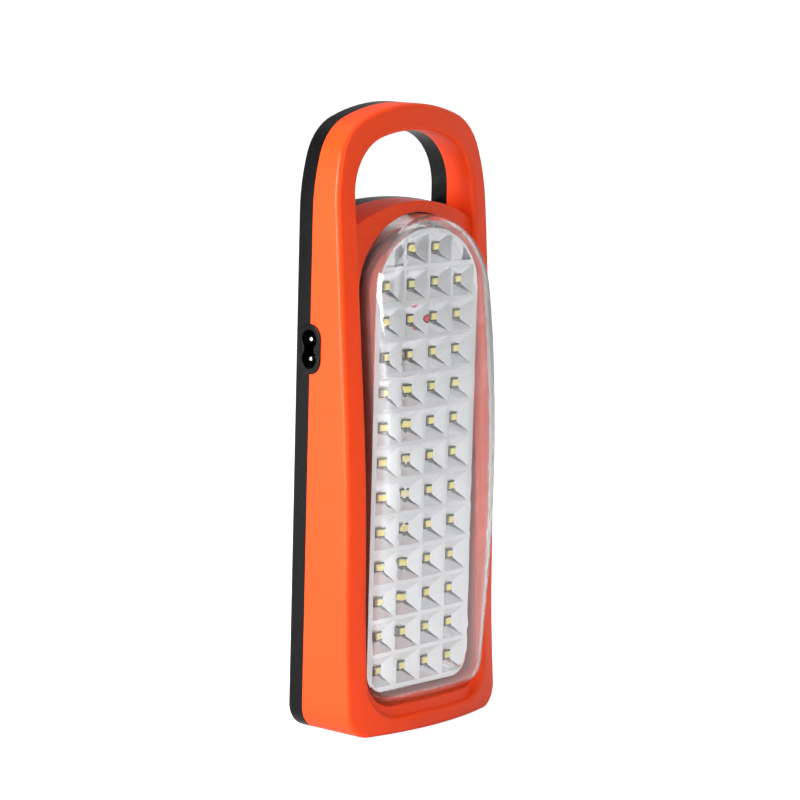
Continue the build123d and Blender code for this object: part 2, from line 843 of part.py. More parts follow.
def switch_bezel():
    """Oval trim with the slot that the knob slides in."""
    profile = Pos(0, switch_height) * side_oval(bezel_length, bezel_width)
    trim = side_slab(profile, half_width, half_width + bezel_proud)
    trim = fillet(trim.edges().group_by(Axis.X)[-1], bezel_proud * 0.6)
    inner = Pos(0, switch_height) * side_oval(bezel_length - 2 * inlet_lip, bezel_width - 2 * inlet_lip)
    trim += side_slab(inner, half_width - wall, half_width)
    slot = Pos(0, switch_height) * Rectangle(knob_width + 2 * knob_gap, knob_length + switch_travel + 2 * knob_gap)
    return trim - side_slab(slot, half_width - wall, half_width + bezel_proud)


def stem_size():
    """Width and length of the actuator stem below the knob."""
    return knob_width * 0.5, knob_length * 0.6


def switch_body():
    """Pressed-steel switch can behind the bezel, with an actuator slot."""
    outer_x = half_width - wall
    inner_x = outer_x - switch_can_depth
    half_y = bezel_width / 2 - inlet_lip
    half_z = bezel_length / 2 + 2
    can = block(inner_x, outer_x, -half_y, half_y, switch_height - half_z, switch_height + half_z)
    stem_width, stem_length = stem_size()
    room_z = (switch_travel + stem_length) / 2 + knob_gap
    shelf = outer_x - switch_can_wall
    can -= block(shelf, outer_x, -stem_width / 2 - knob_gap, stem_width / 2 + knob_gap,
                 switch_height - room_z, switch_height + room_z)
    room = half_y - switch_can_wall
    return can - block(inner_x + 2.5, shelf, -room, room, switch_height - room_z - 1, switch_height + room_z + 1)


def switch_terminals():
    """Three solder tabs on the back of the switch."""
    end = half_width - wall - switch_can_depth
    tabs = []
    for step in (-1, 0, 1):
        z = switch_height + 6 * step
        tabs.append(block(end - tab_length, end, -0.4, 0.4, z - 1.0, z + 1.0))
    return group(tabs)


def switch_knob():
    """Sliding knob with grip ridges and the stem that moves the contacts."""
    low = knob_low()
    high = low + knob_length
    middle = (low + high) / 2
    half = knob_width / 2
    top = half_width + knob_proud
    knob = block(half_width - wall + knob_gap, top, -half, half, low, high)
    for step in (-1, 0, 1):
        z = middle + step * 1.6
        knob -= block(top - 0.6, top, -half, half, z - 0.35, z + 0.35)
    stem_width, stem_length = stem_size()
    bottom = half_width - wall - switch_can_wall - 2.5
    knob += block(bottom, half_width - wall + knob_gap, -stem_width / 2, stem_width / 2,
                  middle - stem_length / 2, middle + stem_length / 2)
    return knob


# ---------------------------------------------------------------- leads

def battery_lead(side):
    """Lead from a battery terminal up to the control board's lower edge."""
    y = battery_rear() - battery_thick / 2
    start = battery_bottom + battery_height + 6.3
    board_y = control_front() - lead_radius
    end = control_bottom + 2
    x = side * terminal_x
    return lead([(x, y, start), (x, y, start + 14), (x - side * 5, y + 3, start + 28),
                 (x - side * 9, board_y - 2, start + 44), (x - side * 9, board_y, end)])


def led_leads():
    """Two leads from the back of the LED board down to the control board."""
    rear = board_front() + board_thick
    front = control_front()
    leads = []
    for side in (-1, 1):
        x = 3 * side
        z = control_bottom - 18
        leads.append(lead([(x, rear, z), (x, rear + 6, z), (x, rear + 10, z + 8),
                           (x, front - 5, z + 14), (x, front - lead_radius, z + 24)]))
    return group(leads)


def inlet_leads():
    """Two leads from the inlet tabs to the control board."""
    start = -half_width + inlet_body_depth + tab_length
    end = -control_width / 2 + 3
    y = control_front() - lead_radius
    leads = []
    for side in (-1, 1):
        z = inlet_height + side * pin_pitch / 2
        leads.append(lead([(start, 0, z), (start + 3, 0, z), (end - 2, y, z - 2), (end + 2, y, z - 2)]))
    return group(leads)


def switch_leads():
    """Three leads from the switch tabs to the control board."""
    start = half_width - wall - switch_can_depth - tab_length
    y = control_front() - lead_radius
    leads = []
    for step in (-1, 0, 1):
        z = switch_height + 6 * step
        leads.append(lead([(start, 0, z), (start - 3, 0, z), (start - 8, y, z - 2), (start - 11, y, z - 2)]))
    return group(leads)


# ---------------------------------------------------------------- export

pieces = {
    "front_housing": front_housing(),
    "rear_housing": rear_housing(),
    "housing_screws": housing_screws(),
    "lens_cover": lens_cover(),
    "lens_seal": lens_seal(),
    "lens_screws": lens_screws(),
    "reflector": reflector(),
    "led_board": led_board(),
    "led_packages": led_packages(),
    "led_phosphors": led_phosphors(),
    "led_board_screws": led_board_screws(),
    "indicator_led": indicator_led(),
    "battery_case": battery_case(),
    "battery_lid": battery_lid(),
    "battery_terminals": battery_terminals(),
    "battery_pad": battery_pad(),
    "battery_clamp": battery_clamp(),
    "battery_clamp_screws": battery_clamp_screws(),
    "control_board": control_board(),
    "control_board_screws": control_board_screws(),
    "film_capacitor": film_capacitor(),
    "electrolytic_capacitor": electrolytic_capacitor(),
    "rectifier_diodes": rectifier_diodes(),
    "resistors": resistors(),
    "transistor": transistor(),
    "inlet_body": inlet_body(),
    "inlet_pins": inlet_pins(),
    "inlet_terminals": inlet_terminals(),
    "switch_bezel": switch_bezel(),
    "switch_body": switch_body(),
    "switch_terminals": switch_terminals(),
    "switch_knob": switch_knob(),
    "battery_lead_red": battery_lead(1),
    "battery_lead_black": battery_lead(-1),
    "led_leads": led_leads(),
    "inlet_leads": inlet_leads(),
    "switch_leads": switch_leads(),
}

os.makedirs("parts", exist_ok=True)
for name, piece in pieces.items():
    export_step(piece, f"parts/{name}.step")
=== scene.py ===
import json
from math import cos, radians, sin

import bmesh
import bpy
from bpy.props import FloatProperty, FloatVectorProperty, IntProperty, PointerProperty
from bpy.types import Operator, Panel, PropertyGroup
from mathutils import Matrix, Vector


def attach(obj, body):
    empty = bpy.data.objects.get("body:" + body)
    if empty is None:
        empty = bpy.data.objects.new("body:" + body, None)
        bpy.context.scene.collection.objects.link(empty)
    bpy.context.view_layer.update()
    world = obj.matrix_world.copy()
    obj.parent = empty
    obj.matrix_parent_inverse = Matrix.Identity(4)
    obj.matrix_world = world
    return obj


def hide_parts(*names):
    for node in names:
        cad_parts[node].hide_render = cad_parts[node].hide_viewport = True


bl_info = {
    "name": "Rechargeable LED lantern",
    "version": (1, 0, 0),
    "blender": (4, 5, 0),
    "location": "View3D > Sidebar > Lantern",
    "description": "Builds the finished surfaces of a rechargeable LED emergency lantern on its CAD frame",
    "category": "Object",
}

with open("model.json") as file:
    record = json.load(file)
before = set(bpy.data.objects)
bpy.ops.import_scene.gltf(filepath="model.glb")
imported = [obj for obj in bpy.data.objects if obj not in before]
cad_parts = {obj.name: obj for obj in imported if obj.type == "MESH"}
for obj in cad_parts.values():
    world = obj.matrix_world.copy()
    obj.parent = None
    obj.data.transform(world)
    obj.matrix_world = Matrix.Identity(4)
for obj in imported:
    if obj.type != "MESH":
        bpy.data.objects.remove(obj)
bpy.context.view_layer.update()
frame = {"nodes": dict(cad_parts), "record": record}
LANTERN = "lantern_body"
SLIDER = "switch_slider"
MM = 0.001

PEEL_SCALE = 260.0             # moulded orange peel, per metre
GRAIN_SCALE = 3200.0           # fine moulded grain, per metre
STREAK_SCALE = 400.0           # lines of drawn metal, per metre
SKIN_RELIEF = 0.2 * MM         # height that full bump stands for on moulded and metal surfaces
LENS_RELIEF = 0.4 * MM         # the same for the waves of the clear lens
COAT_ROUGHNESS = 0.08
LEAST_ROUGHNESS = 0.02
DUST_COLOUR = (0.62, 0.60, 0.57, 1.0)
WELD_DISTANCE = 0.002 * MM
SPECK_LENGTH = 0.0001 * MM     # shorter edges are dropped
ROUNDED_ANGLE = radians(30)    # edges sharper than this are rounded
LARGE_FACE_WEIGHT = 60         # 50 is neutral; more favours large faces
FLOOR_REACH = 60.0
FLOOR_GLOW = 0.85              # what the camera alone sees on the floor
BRIGHT_SIDE = (0.66, 0.62, 0.35)
LAMP_TARGET = (0.0, 0.0, 0.13)
CARD_TARGET = (0.0, 0.0, 0.12)
CAMERA_SENSOR = 36.0


# ---------------------------------------------------------------- settings

class LanternSizes(PropertyGroup):
    """Small sizes that finish the moulded parts."""
    crease: FloatProperty(
        name="Crease angle", description="Edges sharper than this stay crisp on the moulded parts",
        default=radians(32), subtype="ANGLE")
    flat: FloatProperty(
        name="Flat angle", description="Facets closer in angle than this are joined before rounding",
        default=radians(1.0), subtype="ANGLE")
    rib_round: FloatProperty(
        name="Rib rounding", description="Radius on the edges of the reflector's ribs",
        default=0.28 * MM, unit="LENGTH")
    trim_round: FloatProperty(
        name="Trim rounding", description="Radius on the edges of the inlet and switch",
        default=0.18 * MM, unit="LENGTH")
    round_steps: IntProperty(
        name="Rounding steps", description="Segments across each rounded edge", default=2, min=1, max=4)


class LanternColours(PropertyGroup):
    """Main colours of the lantern."""
    shell: FloatVectorProperty(
        name="Front shell", description="Orange of the front shell", subtype="COLOR", size=4,
        default=(0.93, 0.062, 0.006, 1.0))
    rear: FloatVectorProperty(
        name="Rear shell", description="Black of the rear shell and side fittings", subtype="COLOR", size=4,
        default=(0.003, 0.003, 0.0035, 1.0))
    mirror: FloatVectorProperty(
        name="Reflector", description="Tint of the metallised reflector", subtype="COLOR", size=4,
        default=(0.86, 0.865, 0.88, 1.0))
    # The phosphor and indicator colours also tint the painted glow of their resin.
    phosphor: FloatVectorProperty(
        name="Phosphor", description="Yellow fill of the LED packages", subtype="COLOR", size=4,
        default=(0.90, 0.78, 0.22, 1.0))
    indicator: FloatVectorProperty(
        name="Indicator", description="Red of the charging indicator", subtype="COLOR", size=4,
        default=(0.62, 0.012, 0.02, 1.0))


class LanternStage(PropertyGroup):
    """Camera and lights."""
    azimuth: FloatProperty(
        name="Camera azimuth", description="Camera's direction round the lantern, from front to right",
        default=radians(-50.09), subtype="ANGLE")
    elevation: FloatProperty(
        name="Camera elevation", description="Camera's height angle", default=radians(8.51), subtype="ANGLE")
    roll: FloatProperty(
        name="Camera roll", description="Tilt of the picture", default=radians(1.5), subtype="ANGLE")
    place: FloatVectorProperty(
        name="Camera place", description="Where the camera stands", size=3, subtype="TRANSLATION",
        default=(-1.14568, -0.96715, 0.36486))
    lens: FloatProperty(
        name="Lens", description="Focal length on a 36 mm sensor, in millimetres", default=155.25)
    key_power: FloatProperty(
        name="Key light", description="Power of the softbox at the upper left",
        default=50.0, subtype="POWER")
    fill_power: FloatProperty(
        name="Fill light", description="Power of the large softbox in front", default=7.0, subtype="POWER")
    card_power: FloatProperty(
        name="Card", description="Power of the pale card on the right that the reflector mirrors",
        default=2.4, subtype="POWER")
    top_power: FloatProperty(
        name="Top light", description="Power of the softbox overhead", default=5.0, subtype="POWER")
    room: FloatProperty(
        name="Room light", description="Brightness of the pale room round the lantern", default=0.5)


# ---------------------------------------------------------------- shader groups

def new_group(name, inputs, outputs):
    """An empty shader group with named sockets, and its two end nodes."""
    group = bpy.data.node_groups.new(name, "ShaderNodeTree")
    for label, kind, value in inputs:
        socket = group.interface.new_socket(label, in_out="INPUT", socket_type=kind)
        socket.default_value = value
    for label, kind in outputs:
        group.interface.new_socket(label, in_out="OUTPUT", socket_type=kind)
    start = group.nodes.new("NodeGroupInput")
    end = group.nodes.new("NodeGroupOutput")
    return group, start, end


def noise(tree, place, scale, detail=3.0, roughness=0.5):
    """A noise texture on the given coordinates."""
    node = tree.nodes.new("ShaderNodeTexNoise")
    node.inputs["Scale"].default_value = scale
    node.inputs["Detail"].default_value = detail
    node.inputs["Roughness"].default_value = roughness
    tree.links.new(place, node.inputs["Vector"])
    return node


def maths(tree, operation, first, second):
    """A maths node; each side is a socket or a number."""
    node = tree.nodes.new("ShaderNodeMath")
    node.operation = operation
    for socket, value in zip(node.inputs, (first, second)):
        if isinstance(value, (int, float)):
            socket.default_value = value
        else:
            tree.links.new(value, socket)
    return node.outputs["Value"]


def moulded_skin():
    """Fine moulded texture: a soft orange-peel height, a grain height and slow colour variation."""
    name = "moulded_skin"
    if name in bpy.data.node_groups:
        return bpy.data.node_groups[name]
    group, start, end = new_group(
        name,
        [("Peel Scale", "NodeSocketFloat", PEEL_SCALE), ("Grain Scale", "NodeSocketFloat", GRAIN_SCALE),
         ("Grain", "NodeSocketFloat", 0.3)],
        [("Height", "NodeSocketFloat"), ("Variation", "NodeSocketFloat")])
    place = group.nodes.new("ShaderNodeTexCoord").outputs["Object"]
    peel = noise(group, place, PEEL_SCALE, 1.0)
    group.links.new(start.outputs["Peel Scale"], peel.inputs["Scale"])
    grain = noise(group, place, GRAIN_SCALE, 2.0)
    group.links.new(start.outputs["Grain Scale"], grain.inputs["Scale"])
    share = maths(group, "MULTIPLY", grain.outputs["Fac"], start.outputs["Grain"])
    height = maths(group, "ADD", peel.outputs["Fac"], share)
    group.links.new(height, end.inputs["Height"])
    slow = noise(group, place, 14.0, 4.0, 0.55)
    group.links.new(slow.outputs["Fac"], end.inputs["Variation"])
    return group


def handling_marks():
    """Faint rubbed patches, fine scratches and specks of dust, as a mask."""
    name = "handling_marks"
    if name in bpy.data.node_groups:
        return bpy.data.node_groups[name]
    group, start, end = new_group(
        name,
        [("Scratches", "NodeSocketFloat", 0.3), ("Dust", "NodeSocketFloat", 0.2)],
        [("Rubbed", "NodeSocketFloat"), ("Dust", "NodeSocketFloat")])
    place = group.nodes.new("ShaderNodeTexCoord").outputs["Object"]
    stretch = group.nodes.new("ShaderNodeMapping")
    stretch.inputs["Rotation"].default_value = (0.3, 0.5, 0.9)
    stretch.inputs["Scale"].default_value = (1.0, 14.0, 14.0)
    group.links.new(place, stretch.inputs["Vector"])
    lines = noise(group, stretch.outputs["Vector"], 90.0, 5.0, 0.6)
    thin = group.nodes.new("ShaderNodeMapRange")
    thin.inputs["From Min"].default_value = 0.62
    thin.inputs["From Max"].default_value = 0.72
    group.links.new(lines.outputs["Fac"], thin.inputs["Value"])
    patches = noise(group, place, 30.0, 3.0)
    rub = maths(group, "MULTIPLY", thin.outputs["Result"], patches.outputs["Fac"])
    rub = maths(group, "MULTIPLY", rub, start.outputs["Scratches"])
    group.links.new(rub, end.inputs["Rubbed"])
    specks = noise(group, place, 1500.0, 1.0)
    few = group.nodes.new("ShaderNodeMapRange")
    few.inputs["From Min"].default_value = 0.70
    few.inputs["From Max"].default_value = 0.76
    group.links.new(specks.outputs["Fac"], few.inputs["Value"])
    dust = maths(group, "MULTIPLY", few.outputs["Result"], start.outputs["Dust"])
    group.links.new(dust, end.inputs["Dust"])
    return group


def drawn_streaks():
    """Fine parallel lines of drawn or rolled metal."""
    name = "drawn_streaks"
    if name in bpy.data.node_groups:
        return bpy.data.node_groups[name]
    group, start, end = new_group(
        name, [("Scale", "NodeSocketFloat", STREAK_SCALE)], [("Height", "NodeSocketFloat")])
    place = group.nodes.new("ShaderNodeTexCoord").outputs["Object"]
    stretch = group.nodes.new("ShaderNodeMapping")
    stretch.inputs["Scale"].default_value = (0.05, 1.0, 1.0)
    group.links.new(place, stretch.inputs["Vector"])
    lines = noise(group, stretch.outputs["Vector"], STREAK_SCALE, 4.0)
    group.links.new(start.outputs["Scale"], lines.inputs["Scale"])
    group.links.new(lines.outputs["Fac"], end.inputs["Height"])
    return group


def use(tree, group, **values):
    """Place a shader group in a material with its own values."""
    node = tree.nodes.new("ShaderNodeGroup")
    node.node_tree = group
    for label, value in values.items():
        node.inputs[label.replace("_", " ")].default_value = value
    return node


# ---------------------------------------------------------------- materials

def blank_material(name):
    """A material with only a Principled shader and its output."""
    material = bpy.data.materials.new(name)
    material.use_nodes = True
    return material, material.node_tree, material.node_tree.nodes["Principled BSDF"]


def shade(colour, factor):
    """The colour made lighter or darker."""
    return tuple(min(1.0, channel * factor) for channel in colour[:3]) + (1.0,)


def finish(name, colour, roughness, spread=0.06, metallic=0.0, bump=0.05, peel=PEEL_SCALE, grain=0.3,
           scratches=0.3, dust=0.1, coat=0.0, streaks=0.0, shine=0.5):
    """A moulded, lacquered, rubber or metal surface."""
    material, tree, shader = blank_material(name)
    links = tree.links
    skin = use(tree, moulded_skin(), Peel_Scale=peel, Grain_Scale=GRAIN_SCALE, Grain=grain)
    marks = use(tree, handling_marks(), Scratches=scratches, Dust=dust)
    tint = tree.nodes.new("ShaderNodeMix")
    tint.data_type = "RGBA"
    tint.inputs["A"].default_value = shade(colour, 0.94)
    tint.inputs["B"].default_value = shade(colour, 1.05)
    links.new(skin.outputs["Variation"], tint.inputs["Factor"])
    dusty = tree.nodes.new("ShaderNodeMix")
    dusty.data_type = "RGBA"
    dusty.inputs["B"].default_value = DUST_COLOUR
    links.new(tint.outputs["Result"], dusty.inputs["A"])
    links.new(marks.outputs["Dust"], dusty.inputs["Factor"])
    links.new(dusty.outputs["Result"], shader.inputs["Base Color"])
    rough = tree.nodes.new("ShaderNodeMapRange")
    rough.inputs["To Min"].default_value = max(LEAST_ROUGHNESS, roughness - spread)
    rough.inputs["To Max"].default_value = roughness + spread
    links.new(skin.outputs["Variation"], rough.inputs["Value"])
    rubbed = maths(tree, "ADD", rough.outputs["Result"], marks.outputs["Rubbed"])
    links.new(rubbed, shader.inputs["Roughness"])
    relief = tree.nodes.new("ShaderNodeBump")
    relief.inputs["Strength"].default_value = bump
    relief.inputs["Distance"].default_value = SKIN_RELIEF
    height = skin.outputs["Height"]
    if streaks:
        lines = use(tree, drawn_streaks(), Scale=STREAK_SCALE)
        part = maths(tree, "MULTIPLY", lines.outputs["Height"], streaks)
        height = maths(tree, "ADD", height, part)
    links.new(height, relief.inputs["Height"])
    links.new(relief.outputs["Normal"], shader.inputs["Normal"])
    shader.inputs["Metallic"].default_value = metallic
    shader.inputs["Coat Weight"].default_value = coat
    shader.inputs["Coat Roughness"].default_value = COAT_ROUGHNESS
    shader.inputs["Specular IOR Level"].default_value = shine
    return material


def clear_plastic(name):
    """Clear injection-moulded plastic, slightly wavy, that lets light rays through."""
    material, tree, shader = blank_material(name)
    links = tree.links
    skin = use(tree, moulded_skin(), Peel_Scale=70.0, Grain_Scale=400.0, Grain=0.02)
    marks = use(tree, handling_marks(), Scratches=0.06, Dust=0.0)
    shader.inputs["Base Color"].default_value = (0.97, 0.975, 0.98, 1.0)
    shader.inputs["Transmission Weight"].default_value = 0.97
    shader.inputs["IOR"].default_value = 1.47
    rubbed = maths(tree, "ADD", marks.outputs["Rubbed"], 0.015)
    links.new(rubbed, shader.inputs["Roughness"])
    relief = tree.nodes.new("ShaderNodeBump")
    relief.inputs["Strength"].default_value = 0.05
    relief.inputs["Distance"].default_value = LENS_RELIEF
    links.new(skin.outputs["Height"], relief.inputs["Height"])
    links.new(relief.outputs["Normal"], shader.inputs["Normal"])
    output = tree.nodes["Material Output"]
    ray = tree.nodes.new("ShaderNodeLightPath")
    through = tree.nodes.new("ShaderNodeBsdfTransparent")
    through.inputs["Color"].default_value = (0.92, 0.92, 0.92, 1.0)
    mix = tree.nodes.new("ShaderNodeMixShader")
    links.new(ray.outputs["Is Shadow Ray"], mix.inputs["Fac"])
    links.new(shader.outputs["BSDF"], mix.inputs[1])
    links.new(through.outputs["BSDF"], mix.inputs[2])
    links.new(mix.outputs["Shader"], output.inputs["Surface"])
    return material


def resin_with_painted_glow(name, colour, roughness, glow):
    """Coloured epoxy or phosphor that catches light in its depth, with a painted glow: emission in its own
    colour, though no lamp lights it.
    """
    material = finish(name, colour, roughness, spread=0.04, bump=0.03, peel=900.0, scratches=0.0,
                      dust=0.0, coat=0.5)
    shader = material.node_tree.nodes["Principled BSDF"]
    shader.inputs["Subsurface Weight"].default_value = 0.25
    shader.inputs["Subsurface Radius"].default_value = (0.0006, 0.0004, 0.0002)
    # Painted glow: emission in the resin's own colour, not light from any lamp.
    shader.inputs["Emission Color"].default_value = colour
    shader.inputs["Emission Strength"].default_value = glow
    return material


def finish_for(slot):
    """The material of a record slot, made once."""
    if slot in bpy.data.materials and bpy.data.materials[slot].get("lantern_finish"):
        return bpy.data.materials[slot]
    colours = bpy.context.scene.lantern_colours
    makers = {
        "orange_shell": lambda n: finish(n, tuple(colours.shell), 0.34, spread=0.04, bump=0.03,
                                         peel=210.0, grain=0.15, scratches=0.10, dust=0.03, shine=0.25),
        "black_shell": lambda n: finish(n, tuple(colours.rear), 0.27, spread=0.05, bump=0.07, grain=0.6,
                                        scratches=0.15, dust=0.04, shine=0.16),
        "clear_lens": clear_plastic,
        "seal_rubber": lambda n: finish(n, (0.02, 0.02, 0.02, 1.0), 0.72, bump=0.3, grain=1.0, dust=0.3),
        "steel": lambda n: finish(n, (0.60, 0.60, 0.62, 1.0), 0.30, metallic=1.0, bump=0.15, streaks=0.6),
        "mirror_plastic": lambda n: finish(n, tuple(colours.mirror), 0.07, spread=0.03, metallic=1.0,
                                           bump=0.14, peel=150.0, grain=0.05, scratches=0.10, dust=0.02),
        "dark_board": lambda n: finish(n, (0.018, 0.026, 0.022, 1.0), 0.32, bump=0.1, coat=0.3),
        "led_white": lambda n: finish(n, (0.66, 0.62, 0.44, 1.0), 0.40, bump=0.05, dust=0.0),
        # The phosphor and the red epoxy carry a painted glow through emission.
        "phosphor": lambda n: resin_with_painted_glow(n, tuple(colours.phosphor), 0.35, 0.18),
        "red_epoxy": lambda n: resin_with_painted_glow(n, tuple(colours.indicator), 0.16, 0.05),
        "battery_plastic": lambda n: finish(n, (0.05, 0.05, 0.055, 1.0), 0.50, bump=0.2, grain=1.0),
        "foam": lambda n: finish(n, (0.07, 0.07, 0.07, 1.0), 0.92, bump=0.8, peel=1400.0, grain=1.0),
        "green_board": lambda n: finish(n, (0.02, 0.15, 0.05, 1.0), 0.35, bump=0.1, coat=0.3),
        "film_yellow": lambda n: finish(n, (0.75, 0.42, 0.03, 1.0), 0.32, bump=0.08, coat=0.2),
        "can_sleeve": lambda n: finish(n, (0.03, 0.035, 0.12, 1.0), 0.28, bump=0.05, coat=0.3),
        "component_black": lambda n: finish(n, (0.02, 0.02, 0.02, 1.0), 0.45, bump=0.15, grain=1.0),
        "resistor_tan": lambda n: finish(n, (0.56, 0.38, 0.19, 1.0), 0.30, bump=0.05, coat=0.4),
        "bright_contact": lambda n: finish(n, (0.82, 0.82, 0.80, 1.0), 0.16, metallic=1.0, bump=0.06,
                                           streaks=0.3),
        "wire_red": lambda n: finish(n, (0.55, 0.02, 0.02, 1.0), 0.40, bump=0.1, coat=0.1),
        "wire_black": lambda n: finish(n, (0.02, 0.02, 0.02, 1.0), 0.42, bump=0.1),
        "wire_white": lambda n: finish(n, (0.72, 0.72, 0.68, 1.0), 0.42, bump=0.1),
    }
    if slot in bpy.data.materials:
        bpy.data.materials[slot].name = slot + "_plain"
    material = makers[slot](slot)
    material["lantern_finish"] = True
    return material


# ---------------------------------------------------------------- shapes

def node_slot(node):
    """The record's material slot of a CAD node."""
    for part in frame["record"]["subparts"]:
        if part["node"] == node:
            return part["material_slot"]
    raise ValueError("no slot for " + node)


def dress(node):
    """Give a CAD node that is shown as it is its finished material."""
    mesh = frame["nodes"][node].data
    mesh.materials.clear()
    mesh.materials.append(finish_for(node_slot(node)))


def crease(shape, angle):
    """Mark the edges sharper than the angle as crisp and smooth the rest."""
    for face in shape.faces:
        face.smooth = True
    for edge in shape.edges:
        edge.smooth = len(edge.link_faces) == 2 and edge.calc_face_angle(0.0) < angle


def finished(name, shape, body, node):
    """Turn a bmesh into a piece that rides a body and stands for its CAD node."""
    slot = node_slot(node)
    mesh = bpy.data.meshes.new(name)
    shape.to_mesh(mesh)
    shape.free()
    piece = bpy.data.objects.new(name, mesh)
    bpy.context.scene.collection.objects.link(piece)
    mesh.materials.append(finish_for(slot))
    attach(piece, body)
    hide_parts(node)
    return piece


def joined_copy(node):
    """A CAD node's shape with its loose triangles joined up."""
    shape = bmesh.new()
    shape.from_mesh(frame["nodes"][node].data)
    bmesh.ops.remove_doubles(shape, verts=shape.verts, dist=WELD_DISTANCE)
    bmesh.ops.dissolve_degenerate(shape, dist=SPECK_LENGTH, edges=shape.edges)
    return shape


def even_shading(piece):
    """Weight the shading by face area so large faces stay flat beside their roundings."""
    shading = piece.modifiers.new("even_shading", "WEIGHTED_NORMAL")
    shading.keep_sharp = True
    shading.weight = LARGE_FACE_WEIGHT


def moulded_piece(node, name, body=LANTERN, soften=0.0):
    """A CAD node's shape as a smooth moulded piece, with rounded edges where asked."""
    sizes = bpy.context.scene.lantern_sizes
    shape = joined_copy(node)
    if soften:
        bmesh.ops.dissolve_limit(shape, angle_limit=sizes.flat, verts=shape.verts, edges=shape.edges)
    crease(shape, sizes.crease)
    piece = finished(name, shape, body, node)
    if soften:
        rounding = piece.modifiers.new("rounding", "BEVEL")
        rounding.width = soften
        rounding.segments = sizes.round_steps
        rounding.limit_method = "ANGLE"
        rounding.angle_limit = ROUNDED_ANGLE
        rounding.use_clamp_overlap = True
        rounding.harden_normals = True
    else:
        even_shading(piece)
    return piece


# ---------------------------------------------------------------- operators

class LANTERN_OT_front_shell(Operator):
    """Orange front shell"""
    bl_idname = "lantern.front_shell"
    bl_label = "Front shell"

    def execute(self, context):
        moulded_piece("front_housing", "front_shell")
        return {"FINISHED"}


class LANTERN_OT_rear_shell(Operator):
    """Black rear shell and the screws in its counterbores"""
    bl_idname = "lantern.rear_shell"
    bl_label = "Rear shell"

    def execute(self, context):
        moulded_piece("rear_housing", "rear_shell")
        moulded_piece("housing_screws", "shell_screws")
        return {"FINISHED"}


class LANTERN_OT_lens(Operator):
    """Clear domed lens with its seal and screws"""
    bl_idname = "lantern.lens"
    bl_label = "Lens"

    def execute(self, context):
        moulded_piece("lens_cover", "lens")
        dress("lens_seal")
        moulded_piece("lens_screws", "lens_fixings")
        return {"FINISHED"}


class LANTERN_OT_reflector(Operator):
    """Metallised egg-crate reflector"""
    bl_idname = "lantern.reflector"
    bl_label = "Reflector"

    def execute(self, context):
        moulded_piece("reflector", "mirror_cups", soften=context.scene.lantern_sizes.rib_round)
        return {"FINISHED"}


class LANTERN_OT_light_unit(Operator):
    """LED board with its packages, phosphor, red indicator and screws"""
    bl_idname = "lantern.light_unit"
    bl_label = "Light unit"

    def execute(self, context):
        for node in ("led_board", "led_packages", "led_phosphors"):
            dress(node)
        moulded_piece("indicator_led", "red_indicator")
        moulded_piece("led_board_screws", "board_fixings")
        return {"FINISHED"}


class LANTERN_OT_battery(Operator):
    """Battery with its lid, terminals, pad, strap and screws"""
    bl_idname = "lantern.battery"
    bl_label = "Battery"

    def execute(self, context):
        for node in ("battery_terminals", "battery_pad"):
            dress(node)
        soft = context.scene.lantern_sizes.trim_round
        moulded_piece("battery_case", "battery_box", soften=soft)
        moulded_piece("battery_lid", "battery_cap", soften=soft)
        moulded_piece("battery_clamp", "battery_strap", soften=soft)
        moulded_piece("battery_clamp_screws", "strap_fixings")
        return {"FINISHED"}


class LANTERN_OT_control_board(Operator):
    """Charging board with its components"""
    bl_idname = "lantern.control_board"
    bl_label = "Control board"

    def execute(self, context):
        dress("control_board")
        for node in ("film_capacitor", "electrolytic_capacitor", "rectifier_diodes", "resistors",
                     "transistor", "control_board_screws"):
            moulded_piece(node, node + "_body")
        return {"FINISHED"}


class LANTERN_OT_inlet(Operator):
    """Mains inlet with its two pins"""
    bl_idname = "lantern.inlet"
    bl_label = "Inlet"

    def execute(self, context):
        moulded_piece("inlet_body", "inlet_socket", soften=context.scene.lantern_sizes.trim_round)
        moulded_piece("inlet_pins", "contact_pins")
        dress("inlet_terminals")
        return {"FINISHED"}


class LANTERN_OT_switch(Operator):
    """Slide switch with its trim, can, knob and tabs"""
    bl_idname = "lantern.switch"
    bl_label = "Switch"

    def execute(self, context):
        soft = context.scene.lantern_sizes.trim_round
        moulded_piece("switch_bezel", "switch_trim", soften=soft)
        moulded_piece("switch_knob", "switch_slider_knob", body=SLIDER, soften=soft)
        moulded_piece("switch_body", "switch_can", soften=soft)
        dress("switch_terminals")
        return {"FINISHED"}


class LANTERN_OT_leads(Operator):
    """Insulated leads inside the lantern"""
    bl_idname = "lantern.leads"
    bl_label = "Leads"

    def execute(self, context):
        for node in ("battery_lead_red", "battery_lead_black", "led_leads", "inlet_leads", "switch_leads"):
            moulded_piece(node, node + "_sheath")
        return {"FINISHED"}


# ---------------------------------------------------------------- stage

